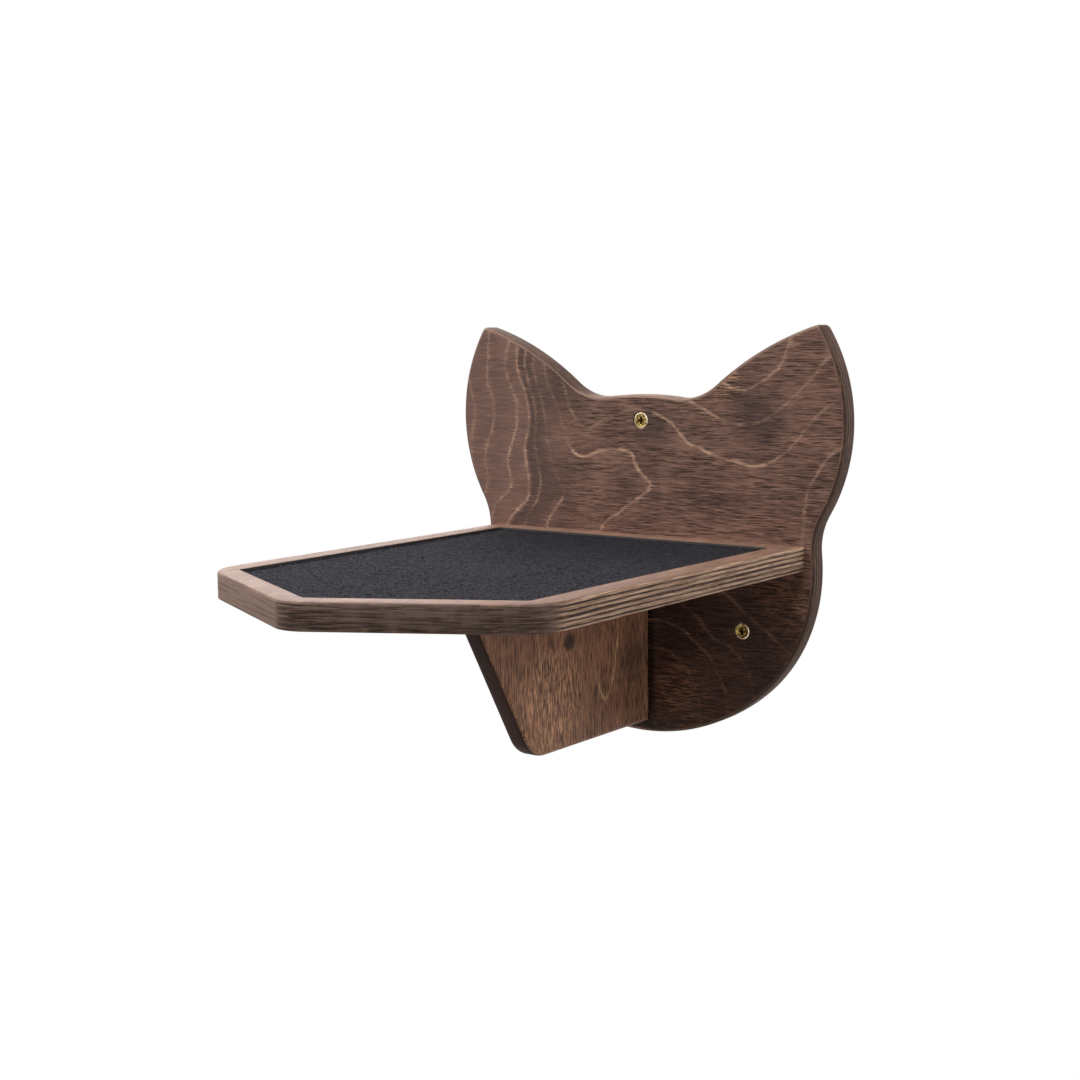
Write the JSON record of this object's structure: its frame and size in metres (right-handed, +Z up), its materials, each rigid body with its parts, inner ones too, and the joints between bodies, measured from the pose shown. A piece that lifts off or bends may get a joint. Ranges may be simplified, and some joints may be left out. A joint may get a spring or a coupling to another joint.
{
  "type": "cat wall shelf",
  "caption": "Wall shelf for a cat: a cat-head shaped plywood back plate, a pointed shelf board with a carpet let into its top and an upright bracket below, fixed with countersunk screws.",
  "frame": {"origin": "centre of the circle of the three wall screws, on the wall plane, which is the back plate's back face", "axes": "X to the right seen from the front, +Y into the wall, +Z up"},
  "size_m": [0.268, 0.3496, 0.2429],
  "materials": {
    "plate_wood": "walnut-stained birch plywood, satin",
    "shelf_wood": "walnut-stained birch plywood, satin, plies showing at the edges",
    "bracket_wood": "walnut-stained birch plywood, satin",
    "carpet": "charcoal needle-felt carpet",
    "zinc_screw": "yellow zinc-plated steel",
    "hook_and_loop": "black woven hook and loop"
  },
  "bodies": {
    "shelf": {"back_plate": "plate_wood", "shelf_board": "shelf_wood", "support_bracket": "bracket_wood", "wall_screw_top": "zinc_screw", "wall_screw_left": "zinc_screw", "wall_screw_right": "zinc_screw", "shelf_screw_1": "zinc_screw", "shelf_screw_2": "zinc_screw", "shelf_screw_3": "zinc_screw", "shelf_screw_4": "zinc_screw", "bracket_screw_upper": "zinc_screw", "bracket_screw_lower": "zinc_screw", "deck_screw_back": "zinc_screw", "deck_screw_front": "zinc_screw", "hook_pad_1": "hook_and_loop", "hook_pad_2": "hook_and_loop", "hook_pad_3": "hook_and_loop", "hook_pad_4": "hook_and_loop"},
    "carpet": {"carpet_mat": "carpet", "loop_pad_1": "hook_and_loop", "loop_pad_2": "hook_and_loop", "loop_pad_3": "hook_and_loop", "loop_pad_4": "hook_and_loop"}
  },
  "joints": [
    {"name": "carpet_lift", "type": "slide", "parent": "shelf", "child": "carpet", "axis": [0, 0, 1], "range_m": [0, 0.15]}
  ]
}
